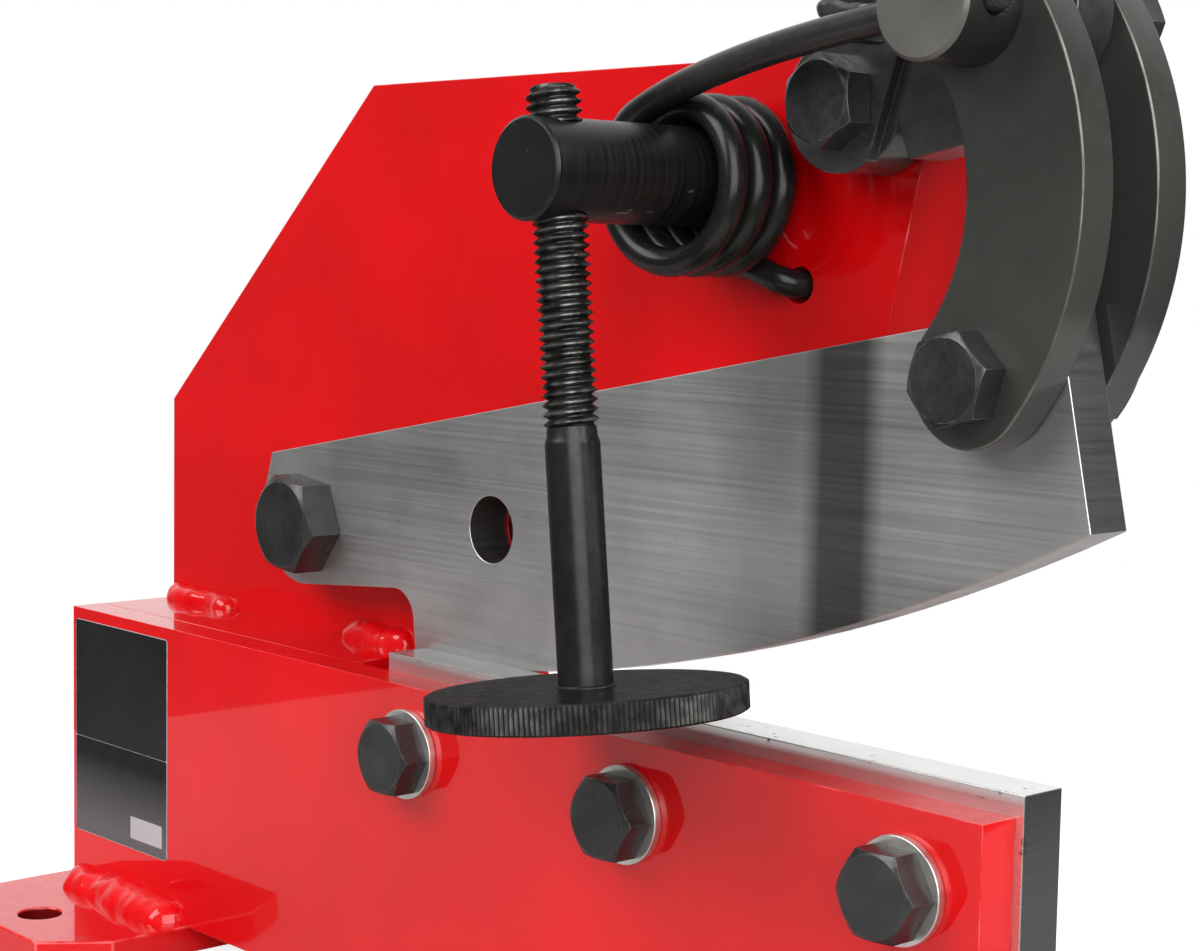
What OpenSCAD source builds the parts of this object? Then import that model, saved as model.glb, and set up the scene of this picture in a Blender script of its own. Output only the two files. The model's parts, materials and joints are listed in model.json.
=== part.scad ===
// Bench lever shear. Millimetres, +Z up, +X along the blades towards the handle side,
// +Y away from the operator. Origin: centre of the four bench bolt holes on the bench plane,
// straight under the shear plane, which is Y = 0.

/* [Frame] */
// Length of the front plate along the blades
frame_l = 254; // [240:1:280]
// Height of the front plate, which sets the table above the feet
plate_h = 62; // [56:1:80]
// Thickness of the front plate
plate_t = 7.4; // [5:0.2:10]
// Thickness of the tall back plate
back_t = 15; // [10:0.5:18]
// Height of the back plate's top edge above the lever's pivot
back_margin = 9; // [8:0.5:16]
// Width of the sloped corner at the back plate's top left
chamfer_w = 74.5; // [50:0.5:90]
// Height of the sloped corner at the back plate's top left
chamfer_h = 67; // [40:0.5:70]
// Slope of the back plate's right end from the vertical
end_lean = 13.3; // [8:0.1:16]
// Gap between the solid block left of the blades and the lower blade
spacer_gap = 11.5; // [10:0.5:20]
// Depth of the back plate's throat below the table
throat_drop = 8; // [5:0.5:12]
// Radius at the throat's closed end
throat_r = 9; // [6:0.5:11]
// Height of the throat's open end above the table
throat_rise = 51; // [46:1:58]

/* [Feet] */
// Thickness of a foot plate
foot_t = 6; // [4:0.5:10]
// Width of a foot plate along the blades
foot_w = 55; // [46:1:70]
// Distance of a foot's front and rear edges from the shear plane
foot_reach = 45.9; // [44:0.1:60]
// Distance between the bench holes across the blades
bench_y = 69.6; // [66:0.2:76]
// Bore of a bench hole
bench_hole_d = 9; // [6:0.5:11]

/* [Blades] */
// Length of the lower blade
lower_l = 150; // [140:1:160]
// Height of the lower blade
lower_h = 31.4; // [28:0.2:36]
// Thickness of both blades
blade_t = 8.8; // [6:0.2:12]
// Height of the lower blade's edge above the table
lower_rise = 3.4; // [2:0.1:4]
// Running gap between the two blades
shear_gap = 0.1; // [0.05:0.05:0.2]
// Radius of the upper blade's curved cutting edge
cut_r = 400; // [360:5:440]
// Height of the upper blade's tip above the lower blade's edge
tip_open = 37.1; // [34:0.1:38]
// Bore of the round hole in the upper blade for cutting bars
bar_hole_d = 12.5; // [8:0.5:14]
// Distance of the upper blade's pivot beyond the lower blade's left end
blade_pivot_in = 38.5; // [37:0.5:40]
// Height of the upper blade's pivot above the table
blade_pivot_rise = 24; // [22:0.5:26]
// Slope of the upper blade's top edge
blade_slope = 10.3; // [9.8:0.1:10.8]

/* [Linkage] */
// Distance from the blade's pivot to the link bolt, less the lower blade's length
reach_over = 28.3; // [27:0.1:30]
// Angle of the line from the blade's pivot to the link bolt above the level, at rest
blade_rise = 12.3; // [12:0.1:12.6]
// Distance between the two eyes of a link
link_l = 53.3; // [51:0.1:56]
// Thickness of a link
link_t = 7.2; // [5:0.1:8.5]
// Radius of a link's eyes
link_eye_r = 10.4; // [9.5:0.1:12]
// Radius of a link's outer curve
link_outer_r = 53; // [50:0.5:60]
// Radius of a link's inner curve
link_inner_r = 31.7; // [30:0.1:34]
// Distance from the lever's pivot to the link pin
crank_l = 32.9; // [31:0.1:34]
// Angle of that distance above the level, at rest
crank_rise = 21.4; // [18:0.2:24]
// Diameter of the link pin's round boss
pin_boss_d = 17; // [15:0.5:20]
// Length of the link pin's round boss
pin_boss_l = 12; // [10:0.5:14]

/* [Lever] */
// Radius of the lever's eye on its pivot
lever_eye_r = 11; // [10:0.2:13]
// Half the width to which the lever's end widens towards the link pin
lever_nose_r = 17.4; // [15:0.2:18]
// Radius of the lever's round end at the link pin
nose_end_r = 12.4; // [11:0.2:14]
// Width of the lever's upright arm
arm_w = 30; // [29:0.5:36]
// Length of the lever plate above its pivot
arm_l = 78; // [60:1:110]
// Lean of the raised lever from the vertical
arm_lean = 8; // [4:0.5:12]
// Step of the pad round the pivot in front of the lever plate
pad_t = 2; // [1:0.2:3]
// Length of the handle tube above the socket's floor
handle_l = 330; // [240:5:420]
// Outer diameter of the handle tube
handle_d = 22; // [18:0.5:25]
// Wall of the handle tube
handle_wall = 2; // [1.5:0.1:3]
// Length of the rubber grip
grip_l = 125; // [90:1:160]

/* [Hold-down] */
// Diameter of the bar that carries the hold-down screw
bar_d = 16.2; // [14:0.2:18]
// Length of that bar in front of the back plate
bar_l = 50.9; // [46:0.1:60]
// Diameter of the hold-down screw
screw_d = 8.7; // [6:0.1:10]
// Length of the hold-down screw above its disc
screw_l = 93.2; // [90:0.1:110]
// Lean of the hold-down screw from the vertical
screw_lean = 6.3; // [0:0.1:8]
// Diameter of the hold-down disc
disc_d = 50.6; // [40:0.2:60]
// Thickness of the hold-down disc
disc_t = 4.7; // [3:0.1:7]

/* [Return spring] */
// Diameter of the wire
wire_d = 4.8; // [3:0.1:5]
// Gap between the bar and the nearest wire
coil_gap = 0.9; // [0.5:0.1:1.5]
// Gap between one turn and the next
turn_gap = 0.8; // [0.5:0.05:1]

/* [Fasteners] */
// Thread diameter of the smaller bolts
bolt_d = 8; // [6:0.5:8]
// Width across flats of the smaller bolts
bolt_af = 13; // [10:0.5:13.5]
// Thread diameter of the link pin
pin_d = 10; // [8:0.5:10]
// Width across flats of the link pin's nut
pin_af = 16; // [13:0.5:17]
// Thread diameter of the upper blade's pivot bolt
pivot_d = 12; // [10:0.5:12]
// Width across flats of the upper blade's pivot bolt
pivot_af = 18; // [16:0.5:19]
// Outer diameter of the washers on the front plate
washer_d = 16.5; // [15:0.5:20]
// Thickness of the washers
washer_t = 1.5; // [1:0.1:2]
// Radial running fit of a pin in its bore
fit = 0.05; // [0.02:0.01:0.08]
// Radial clearance of a fixed bolt in its hole
bolt_clear = 0.25; // [0.15:0.05:0.4]

/* [Hidden] */
square_turn = 90;
half_turn = 180;
$fn = 64;
over = 1;
// Depth to which a round runs into the straight edges that it meets
blend = 0.02;

// Colours
red = "#d8131a";
steel = "#8b8c8c";
black = "#1e1e1f";
zinc = "#c9c9c4";
grey = "#484844";
rubber = "#161616";

// Gaps between moving faces
shim_t = 0.5;
face_gap = 0.1;
link_gap = 0.2;
rear_gap = 1.5;
thread_gap = 0.05;

// Levels across the blades, from front to back
front_y = -blade_t - plate_t;
blade_front = shear_gap;
blade_back = blade_front + blade_t;
back_y = blade_back + shim_t;
back_rear = back_y + back_t;
rear_seat = back_rear + washer_t;
link_back = -link_gap;
link_front = link_back - link_t;
rear_link_y = blade_back + rear_gap;
rear_link_back = rear_link_y + link_t;
pin_seat = link_front - face_gap;
pin_rear = rear_link_back + face_gap;
pad_front = blade_front - pad_t;

// Frame, feet and lower blade
x_left = -frame_l / 2;
x_right = frame_l / 2;
table_z = foot_t + plate_h;
edge_z = table_z + lower_rise;
ledge_z = edge_z - lower_h;
lower_over = 1.5;
lower_right = x_right + lower_over;
lower_left = lower_right - lower_l;
spacer_l = lower_left - spacer_gap - x_left;
lower_bolt_margin = 16;
lower_bolt_drop = 12.4;
lower_bolt_step = (lower_l - 2 * lower_bolt_margin) / 2;
lower_bolt_stop = 1;
foot_over = 9;
foot_cut_x = 9.3;
foot_cut_y = 12.6;
foot_x = x_right + foot_over - foot_w / 2;
bench_x = 2 * foot_x;
foot_bead_r = 6;
rear_bead_r = 3;
bead_inset = 2;
stitch_r = 4;
stitch_shares = [[0.003, 0.27], [0.72, 0.955]];

// Pivots as [x, z]
function polar(r, a) = [r * cos(a), r * sin(a)];
link_angle = 90.6;
blade_reach = lower_l + reach_over;
blade_pivot = [lower_left - blade_pivot_in, table_z + blade_pivot_rise];
link_low = blade_pivot + polar(blade_reach, blade_rise);
link_high = link_low + polar(link_l, link_angle);
lever_pivot = link_high - polar(crank_l, crank_rise);

// Back plate
plate_top = lever_pivot[1] + back_margin;
end_margin = 9.8;
low_end_in = 19;
throat_z = table_z - throat_drop;
throat_inset = 16.5;
throat_centre = [lower_left + throat_inset, throat_z + throat_r];
end_point = lever_pivot + [end_margin, 0];
end_angle = square_turn - end_lean;

// Upper blade
heel_l = 16;
heel_r = 13;
heel_flat = 7;
heel_step = 2;
arm_slope = 5.1;
top_rise = 15.8;
step_over = 3.1;
step_slope = 7;
step_r = 6;
heel_dip = 3.4;
tip_over = 3.2;
tip_slope = 12.4;
bar_hole_out = 57.6;
bar_hole_up = 4.1;
bar_hole_at = blade_pivot + [bar_hole_out, bar_hole_up];
slot_back = 2.3;
slot_front = 4.4;
slot_drop = 0.8;
slot_clear = 1.2;

// Fasteners
head_share = 0.41;
nut_share = 0.8;
chamfer_share = 0.475;
chamfer_angle = 30;
bolt_head = head_share * bolt_af;
bolt_nut = nut_share * bolt_d;
pivot_head = 7.5;
pivot_nut = nut_share * pivot_d;
pin_nut = nut_share * pin_d;
end_l = 1.5;
end_cut = 0.8;
shim_d = 18;
pivot_washer_d = 24;
pin_washer_d = 20;
// Turns of the bolt heads, clockwise from the operator's side
pivot_turn = 8;
link_bolt_turn = -15;
lever_bolt_turn = 27;

// Links
link_mid = (link_low + link_high) / 2;
outer_offset = sqrt(pow(link_outer_r - link_eye_r, 2) - pow(link_l / 2, 2));
inner_offset = sqrt(pow(link_inner_r + link_eye_r, 2) - pow(link_l / 2, 2));
outer_centre = link_mid + polar(outer_offset, link_angle + square_turn);
inner_centre = link_mid + polar(inner_offset, link_angle + square_turn);
wedge_share = 2;
boss_cut = 0.6;

// Lever and handle
arm_shift = 10.5;
pad_reach = 8.8;
pad_lean = 18.8;
pad_l = 27;
nose_wide_r = 24;
socket_wall = 3;
socket_floor = 12;
socket_l = 60;
socket_gap = 0.15;
socket_r = handle_d / 2 + socket_gap + socket_wall;
handle_y = (blade_front + blade_back) / 2;
handle_bolt_up = 36;
tube_z = arm_l + socket_floor;
grip_wall = 3.2;
grip_end = 4;
grip_round = 3;

// Return spring
turn_angle = 1235;
ring_angle = 15;
coil_drop = 1.3;
coil_wall_gap = 0.3;
coil_r = bar_d / 2 + coil_gap + coil_drop + wire_d / 2;
coil_pitch = wire_d + turn_gap;
coil_rear = back_y - coil_wall_gap - wire_d / 2;
lever_side_gap = 2.4;
leg_slope = 5;
leg_over = 1.5;
leg_gap = 0.5;
tail_x = 10.6;
tail_drop = 3.3;
tail_slope = 20;
tail_bend = 4;
tail_gap = 0.6;
tail_share = 0.45;

// Hold-down
bar_back = lever_eye_r + lever_side_gap + wire_d / 2 + coil_r;
bar_drop = 11.2;
bar_at = lever_pivot - [bar_back, bar_drop];
bar_cut = 0.5;
coil_at = bar_at - [0, coil_drop];
tail_at = coil_at + [tail_x, -coil_r - tail_drop];
screw_up = 13;
screw_inset = 6.9;
screw_y = back_y - bar_l + screw_inset;
screw_low = screw_up - screw_l;
screw_thread = 52.7;
neck_l = 2.4;
neck_cut = 0.7;
spigot_share = 0.7;
spigot_l = 3;
rim_cut = 0.4;
fixing_depth = 16;
leg_y = pin_seat - pin_boss_l / 2;

// Outline helpers: points are [x, z], and angles start at +X and turn towards +Z
function unit(v) = v / norm(v);
function angle_of(v) = atan2(v[1], v[0]);
// Point where the line from p at angle a meets the line from q at angle b
function meet(p, a, q, b) =
    let (w = q - p)
    p + polar((w[0] * sin(b) - w[1] * cos(b)) / sin(b - a), a);
// Point where a tangent from s touches the upper side of a circle
function touch(c, r, s) = c + polar(r, angle_of(s - c) + acos(r / norm(s - c)));
// Corners of the belt round two circles
function belt(a, ra, b, rb) =
    let (d = angle_of(b - a), k = acos((ra - rb) / norm(b - a)))
    [a + polar(ra, d - k), b + polar(rb, d - k), b + polar(rb, d + k), a + polar(ra, d + k)];

module dot(p, r) {
    translate(p) circle(r);
}
module strap(a, ra, b, rb) {
    dot(a, ra);
    dot(b, rb);
    polygon(belt(a, ra - blend, b, rb - blend));
}
// Fills an inner corner at b, between the directions of a and c, with a round of radius r
module inner_round(a, b, c, r) {
    u = unit(a - b);
    v = unit(c - b);
    half = acos(u * v) / 2;
    run = r / tan(half);
    difference() {
        polygon([
            b - over * (u + v), b + u * run - v * over, b + u * run,
            b + v * run, b + v * run - u * over
        ]);
        dot(b + unit(u + v) * (r - blend) / sin(half), r);
    }
}
// A slab from y to y + t whose outline is drawn in X and Z
module slab(y, t) {
    translate([0, y + t, 0]) rotate([90, 0, 0]) linear_extrude(t) children();
}
// Turns a piece that is drawn along +Z to run along +Y, or along -Y, from y
module backward(p, y) {
    translate([p[0], y, p[1]]) rotate([-90, 0, 0]) children();
}
module forward(p, y) {
    translate([p[0], y, p[1]]) rotate([90, 0, 0]) children();
}
module bore(p, r) {
    forward(p, back_rear + over) cylinder(back_rear - front_y + 2 * over + pad_t, r = r);
}

// Fasteners are drawn along +Z, with the seat at zero
module hex_prism(af, h) {
    intersection() {
        cylinder(h, r = af / sqrt(3), $fn = 6);
        cylinder(h, r1 = chamfer_share * af, r2 = chamfer_share * af + h / tan(chamfer_angle));
    }
}
module stud(d, l) {
    cylinder(l - end_cut, r = d / 2);
    translate([0, 0, l - end_cut]) cylinder(end_cut, r1 = d / 2, r2 = d / 2 - end_cut);
}
module bolt(d, af, head, l) {
    translate([0, 0, -head]) hex_prism(af, head);
    stud(d, l);
}
module nut(d, af, h) {
    difference() {
        translate([0, 0, h]) mirror([0, 0, 1]) hex_prism(af, h);
        translate([0, 0, -over]) cylinder(h + 2 * over, r = d / 2 + thread_gap);
    }
}
module ring(outer_d, d, t) {
    difference() {
        cylinder(t, r = outer_d / 2);
        translate([0, 0, -over]) cylinder(t + 2 * over, r = d / 2 + bolt_clear);
    }
}

// Frame
function lower_bolt_at(i) = [lower_left + lower_bolt_margin + i * lower_bolt_step, table_z - lower_bolt_drop];

module front_plate() {
    color(red) slab(front_y, plate_t) difference() {
        translate([x_left, foot_t]) square([frame_l, plate_h]);
        for (i = [0:2]) dot(lower_bolt_at(i), bolt_d / 2 + bolt_clear);
    }
}
module back_outline() {
    throat_end = meet(end_point, end_angle, [0, table_z + throat_rise], 0);
    top_end = meet(end_point, end_angle, [0, plate_top], 0);
    difference() {
        polygon([
            [x_left, foot_t], [x_right - low_end_in, foot_t], [x_right - low_end_in, throat_z],
            [throat_centre[0], throat_z], throat_centre, touch(throat_centre, throat_r, throat_end),
            throat_end, top_end, [x_left + chamfer_w, plate_top], [x_left, plate_top - chamfer_h]
        ]);
        dot(throat_centre, throat_r + blend);
    }
}
module back_plate() {
    color(red) slab(back_y, back_t) difference() {
        back_outline();
        dot(lever_pivot, bolt_d / 2 + bolt_clear);
        dot(blade_pivot, pivot_d / 2 + bolt_clear);
        dot(bar_at, bolt_d / 2 + bolt_clear);
        dot(bar_hole_at, bar_hole_d / 2);
        dot(tail_at, wire_d / 2 + tail_gap);
    }
}
module spacer_block() {
    color(red) translate([x_left, -blade_t, foot_t]) cube([spacer_l, back_y + blade_t, plate_h]);
}
module ledge_bar() {
    color(red) translate([x_left + spacer_l, -blade_t, foot_t])
        cube([frame_l - spacer_l, back_y + blade_t, ledge_z - foot_t]);
}
module foot(side) {
    hx = foot_w / 2;
    color(red) difference() {
        translate([side * foot_x, 0, 0]) linear_extrude(foot_t) polygon([
            [-hx, foot_cut_y - foot_reach], [foot_cut_x - hx, -foot_reach],
            [hx - foot_cut_x, -foot_reach], [hx, foot_cut_y - foot_reach],
            [hx, foot_reach - foot_cut_y], [hx - foot_cut_x, foot_reach],
            [foot_cut_x - hx, foot_reach], [-hx, foot_reach - foot_cut_y]
        ]);
        for (y = [-bench_y / 2, bench_y / 2])
            translate([side * bench_x / 2, y, -over]) cylinder(foot_t + 2 * over, r = bench_hole_d / 2);
    }
}
module left_foot() {
    foot(-1);
}
module right_foot() {
    foot(1);
}
// A quarter-round bead from x0 to x1 in the corner at y and z, towards -Y or +Y
module bead(x0, x1, y, z, r, side) {
    intersection() {
        union() {
            translate([x0 + r, y, z]) rotate([0, 90, 0]) cylinder(x1 - x0 - 2 * r, r = r);
            for (x = [x0 + r, x1 - r]) translate([x, y, z]) sphere(r);
        }
        translate([x0, side < 0 ? y - r : y, z]) cube([x1 - x0, r, r]);
    }
}
module weld_beads() {
    foot_inner = foot_x - foot_w / 2 + bead_inset;
    bead_l = x_right - foot_inner;
    color(red) {
        for (x = [x_left, foot_inner]) bead(x, x + bead_l, front_y, foot_t, foot_bead_r, -1);
        bead(x_left, x_left + bead_l, back_rear, foot_t, rear_bead_r, 1);
        bead(foot_inner, x_right - low_end_in, back_rear, foot_t, rear_bead_r, 1);
        for (s = stitch_shares)
            bead(x_left + s[0] * spacer_l, x_left + s[1] * spacer_l, back_y, table_z, stitch_r, -1);
    }
}

// Blades
module lower_blade() {
    color(steel) slab(-blade_t, blade_t) difference() {
        translate([lower_left, ledge_z]) square([lower_l, lower_h]);
        for (i = [0:2]) dot(lower_bolt_at(i), bolt_d / 2 + thread_gap);
    }
}
module lower_blade_bolts() {
    l = washer_t + plate_t + blade_t - lower_bolt_stop;
    color(black) for (i = [0:2])
        backward(lower_bolt_at(i), front_y - washer_t) bolt(bolt_d, bolt_af, bolt_head, l);
}
module lower_blade_washers() {
    color(zinc) for (i = [0:2])
        backward(lower_bolt_at(i), front_y - washer_t) ring(washer_d, bolt_d, washer_t);
}
module upper_outline() {
    heel_x = blade_pivot[0] - heel_l;
    heel = [heel_x + heel_r, blade_pivot[1]];
    top_point = blade_pivot + [0, top_rise];
    step = [lower_left - step_over, edge_z - heel_dip];
    tip = [lower_right + tip_over, edge_z + tip_open];
    half_chord = norm(tip - step) / 2;
    rise = sqrt(cut_r * cut_r - half_chord * half_chord);
    belly = cut_r - rise + over;
    arc_centre = (step + tip) / 2 + polar(rise, angle_of(tip - step) + square_turn);
    arm_low = heel + polar(heel_r - blend, arm_slope - square_turn);
    notch = meet(arm_low, arm_slope, step, square_turn + step_slope);
    intersection() {
        polygon([
            heel, arm_low, notch, step + polar(belly, step_slope - square_turn),
            tip + polar(belly, tip_slope - square_turn),
            meet(top_point, blade_slope, tip, square_turn + tip_slope),
            meet([heel_x + heel_step, 0], square_turn, top_point, blade_slope),
            [heel_x, blade_pivot[1] + heel_flat], [heel_x + blend, blade_pivot[1]]
        ]);
        translate(arc_centre) circle(cut_r, $fn = 12 * $fn);
    }
    dot(heel, heel_r);
    inner_round(arm_low, notch, step, step_r);
}
module upper_blade() {
    slot_z = link_low[1] - slot_drop;
    slot_r = bolt_d / 2 + slot_clear;
    color(steel) slab(blade_front, blade_t) difference() {
        upper_outline();
        dot(blade_pivot, pivot_d / 2 + fit);
        dot(bar_hole_at, bar_hole_d / 2);
        strap([link_low[0] - slot_back, slot_z], slot_r, [link_low[0] + slot_front, slot_z], slot_r);
    }
}
module blade_pivot_bolt() {
    l = rear_seat + pivot_nut + end_l;
    color(black) backward(blade_pivot, blade_front - face_gap)
        rotate([0, 0, pivot_turn]) bolt(pivot_d, pivot_af, pivot_head, l);
}
module blade_pivot_shim() {
    color(zinc) backward(blade_pivot, blade_back) ring(shim_d, pivot_d, shim_t);
}
module blade_pivot_washer() {
    color(zinc) backward(blade_pivot, back_rear) ring(pivot_washer_d, pivot_d, washer_t);
}
module blade_pivot_nut() {
    color(black) backward(blade_pivot, rear_seat) nut(pivot_d, pivot_af, pivot_nut);
}

// Links
module link_outline() {
    reach = wedge_share * (link_outer_r - link_eye_r);
    difference() {
        intersection() {
            dot(outer_centre, link_outer_r);
            polygon([
                inner_centre, link_low, outer_centre + reach * unit(link_low - outer_centre),
                outer_centre + reach * unit(link_high - outer_centre), link_high
            ]);
        }
        dot(inner_centre, link_inner_r);
    }
    dot(link_high, link_eye_r);
    dot(link_low, link_eye_r);
}
module link(y) {
    color(grey) slab(y, link_t) difference() {
        link_outline();
        dot(link_high, pin_d / 2 + fit);
        dot(link_low, bolt_d / 2 + bolt_clear);
    }
}
module front_link() {
    link(link_front);
}
module rear_link() {
    link(rear_link_y);
}
module link_blade_bolt() {
    l = rear_link_back + washer_t + bolt_nut + end_l - link_front;
    color(black) backward(link_low, link_front)
        rotate([0, 0, link_bolt_turn]) bolt(bolt_d, bolt_af, bolt_head, l);
}
module link_blade_washer() {
    color(zinc) backward(link_low, rear_link_back) ring(washer_d, bolt_d, washer_t);
}
module link_blade_nut() {
    color(black) backward(link_low, rear_link_back + washer_t) nut(bolt_d, bolt_af, bolt_nut);
}
module link_pin() {
    l = pin_rear + washer_t + pin_nut + end_l - pin_seat;
    r = pin_boss_d / 2;
    color(grey) difference() {
        union() {
            forward(link_high, pin_seat) cylinder(pin_boss_l - boss_cut, r = r);
            forward(link_high, pin_seat - pin_boss_l + boss_cut)
                cylinder(boss_cut, r1 = r, r2 = r - boss_cut);
            backward(link_high, pin_seat) stud(pin_d, l);
        }
        translate([link_high[0], leg_y, link_high[1]]) rotate([0, square_turn - leg_slope, 0])
            cylinder(pin_boss_d + 2 * over, r = wire_d / 2 + leg_gap, center = true);
    }
}
module link_pin_washer() {
    color(zinc) backward(link_high, pin_rear) ring(pin_washer_d, pin_d, washer_t);
}
module link_pin_nut() {
    color(black) backward(link_high, pin_rear + washer_t) nut(pin_d, pin_af, pin_nut);
}

// Lever
module lever_outline() {
    dot(lever_pivot, lever_eye_r);
    dot(link_high, nose_end_r);
    intersection() {
        polygon(belt(lever_pivot, lever_eye_r - blend, link_high, lever_nose_r));
        polygon(belt(lever_pivot, nose_wide_r, link_high, nose_end_r - blend));
    }
    translate(lever_pivot) rotate(-arm_lean)
        translate([arm_shift - arm_w / 2, 0]) square([arm_w, arm_l]);
}
module lever_plate() {
    color(black) difference() {
        union() {
            slab(blade_front, blade_t) lever_outline();
            slab(pad_front, pad_t) intersection() {
                lever_outline();
                translate(lever_pivot) rotate(-pad_lean)
                    translate([pad_reach - arm_l, -arm_w]) square([arm_l, arm_w + pad_l]);
            }
        }
        bore(lever_pivot, bolt_d / 2 + fit);
        bore(link_high, pin_d / 2 + fit);
    }
}
module lever_pivot_bolt() {
    seat = pad_front - face_gap;
    color(black) backward(lever_pivot, seat) rotate([0, 0, lever_bolt_turn])
        bolt(bolt_d, bolt_af, bolt_head, rear_seat + bolt_nut + end_l - seat);
}
module lever_pivot_shim() {
    color(zinc) backward(lever_pivot, blade_back) ring(shim_d, bolt_d, shim_t);
}
module lever_pivot_washer() {
    color(zinc) backward(lever_pivot, back_rear) ring(washer_d, bolt_d, washer_t);
}
module lever_pivot_nut() {
    color(black) backward(lever_pivot, rear_seat) nut(bolt_d, bolt_af, bolt_nut);
}
// The arm's own frame, with Z along the raised arm from the level of the lever's pivot
module on_arm() {
    translate([lever_pivot[0], handle_y, lever_pivot[1]]) rotate([0, arm_lean, 0])
        translate([arm_shift, 0, 0]) children();
}
module handle_cross(r) {
    translate([0, socket_r + over, tube_z + handle_bolt_up]) rotate([90, 0, 0])
        cylinder(2 * (socket_r + over), r = r);
}
module handle_socket() {
    color(black) on_arm() difference() {
        translate([0, 0, arm_l]) cylinder(socket_l, r = socket_r);
        translate([0, 0, tube_z]) cylinder(socket_l, r = handle_d / 2 + socket_gap);
        handle_cross(bolt_d / 2 + bolt_clear);
    }
}
module handle_tube() {
    color(black) on_arm() difference() {
        translate([0, 0, tube_z]) cylinder(handle_l, r = handle_d / 2);
        translate([0, 0, tube_z - over]) cylinder(handle_l + 2 * over, r = handle_d / 2 - handle_wall);
        handle_cross(bolt_d / 2 + bolt_clear);
    }
}
module handle_bolt() {
    color(black) on_arm() translate([0, -socket_r, tube_z + handle_bolt_up]) rotate([-90, 0, 0])
        bolt(bolt_d, bolt_af, bolt_head, 2 * socket_r + bolt_nut + end_l);
}
module handle_nut() {
    color(black) on_arm() translate([0, socket_r, tube_z + handle_bolt_up]) rotate([-90, 0, 0])
        nut(bolt_d, bolt_af, bolt_nut);
}
module handle_grip() {
    r = handle_d / 2 + grip_wall;
    l = grip_l + grip_end;
    color(rubber) on_arm() translate([0, 0, tube_z + handle_l - grip_l]) difference() {
        rotate_extrude() {
            square([r, l - grip_round]);
            square([r - grip_round, l]);
            intersection() {
                translate([r - grip_round, l - grip_round]) circle(grip_round);
                square([r, l]);
            }
        }
        translate([0, 0, -over]) cylinder(grip_l + over, r = handle_d / 2 + fit);
    }
}

// Hold-down. The screw's own frame has its origin on the bar's axis and Z up along the screw
module on_screw() {
    translate([bar_at[0], screw_y, bar_at[1]]) rotate([0, -screw_lean, 0]) children();
}
module hold_down_bar() {
    color(black) difference() {
        union() {
            forward(bar_at, back_y) cylinder(bar_l - bar_cut, r = bar_d / 2);
            forward(bar_at, back_y - bar_l + bar_cut)
                cylinder(bar_cut, r1 = bar_d / 2, r2 = bar_d / 2 - bar_cut);
        }
        on_screw() cylinder(bar_d + 2 * over, r = screw_d / 2 + thread_gap, center = true);
        backward(bar_at, back_y - fixing_depth - over)
            cylinder(fixing_depth + 2 * over, r = bolt_d / 2 + thread_gap);
    }
}
module bar_fixing_bolt() {
    color(black) forward(bar_at, rear_seat)
        bolt(bolt_d, bolt_af, bolt_head, washer_t + back_t + fixing_depth);
}
module bar_fixing_washer() {
    color(zinc) backward(bar_at, back_rear) ring(washer_d, bolt_d, washer_t);
}
module hold_down_screw() {
    r = screw_d / 2;
    thread_low = screw_up - screw_thread;
    color(black) on_screw() {
        translate([0, 0, thread_low]) stud(screw_d, screw_thread);
        translate([0, 0, thread_low - neck_l / 2]) cylinder(neck_l / 2, r1 = r - neck_cut, r2 = r);
        translate([0, 0, thread_low - neck_l]) cylinder(neck_l / 2, r1 = r, r2 = r - neck_cut);
        translate([0, 0, screw_low]) cylinder(thread_low - neck_l - screw_low, r = r);
        translate([0, 0, screw_low - spigot_l]) cylinder(spigot_l, r = spigot_share * r);
    }
}
module hold_down_disc() {
    r = disc_d / 2;
    bore_r = spigot_share * screw_d / 2 + thread_gap;
    color(black) on_screw() translate([0, 0, screw_low - disc_t]) difference() {
        rotate_extrude() polygon([
            [0, 0], [r - rim_cut, 0], [r, rim_cut], [r, disc_t - rim_cut], [r - rim_cut, disc_t], [0, disc_t]
        ]);
        translate([0, 0, disc_t - spigot_l - face_gap]) cylinder(spigot_l + over, r = bore_r);
    }
}

// Return spring: one round wire from its tail in the back plate, round the bar clockwise
// and forward, then over the lever's bolt and through the link pin
function coil_point(a) =
    [coil_at[0] - coil_r * sin(a), coil_rear - coil_pitch * a / 360, coil_at[1] - coil_r * cos(a)];
function curve(a, b, c, t) = a * pow(1 - t, 2) + b * 2 * t * (1 - t) + c * pow(t, 2);
function lift(p, y) = [p[0], y, p[1]];

tail_steps = 5;
leg_steps = 14;
ring_n = round(turn_angle / ring_angle);
coil_start = [coil_at[0], coil_at[1] - coil_r];
tail_flat = tail_at + polar(tail_bend, half_turn - tail_slope);
tail_turn = meet(tail_flat, half_turn - tail_slope, coil_start, 0);
coil_end = coil_point(turn_angle);
coil_leave = [coil_end[0], coil_end[2]];
leg_turn = meet(coil_leave, half_turn - turn_angle, link_high, leg_slope);
leg_end = link_high + polar(pin_boss_d / 2 + leg_over, leg_slope);
tail_path = concat(
    [lift(tail_at, back_y + tail_share * back_t)],
    [for (i = [0:tail_steps]) let (a = square_turn * i / tail_steps)
        lift(tail_at + polar(tail_bend * (1 - cos(a)), half_turn - tail_slope),
            coil_rear + tail_bend * (1 - sin(a)))],
    [for (i = [1:tail_steps - 1])
        lift(curve(tail_flat, tail_turn, coil_start, i / tail_steps), coil_rear)]
);
coil_path = [for (i = [0:ring_n]) coil_point(turn_angle * i / ring_n)];
leg_path = concat(
    [for (i = [1:leg_steps])
        curve(coil_end, lift(leg_turn, coil_end[1]), lift(link_high, leg_y), i / leg_steps)],
    [lift(leg_end, leg_y)]
);
wire_path = concat(tail_path, coil_path, leg_path);

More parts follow.
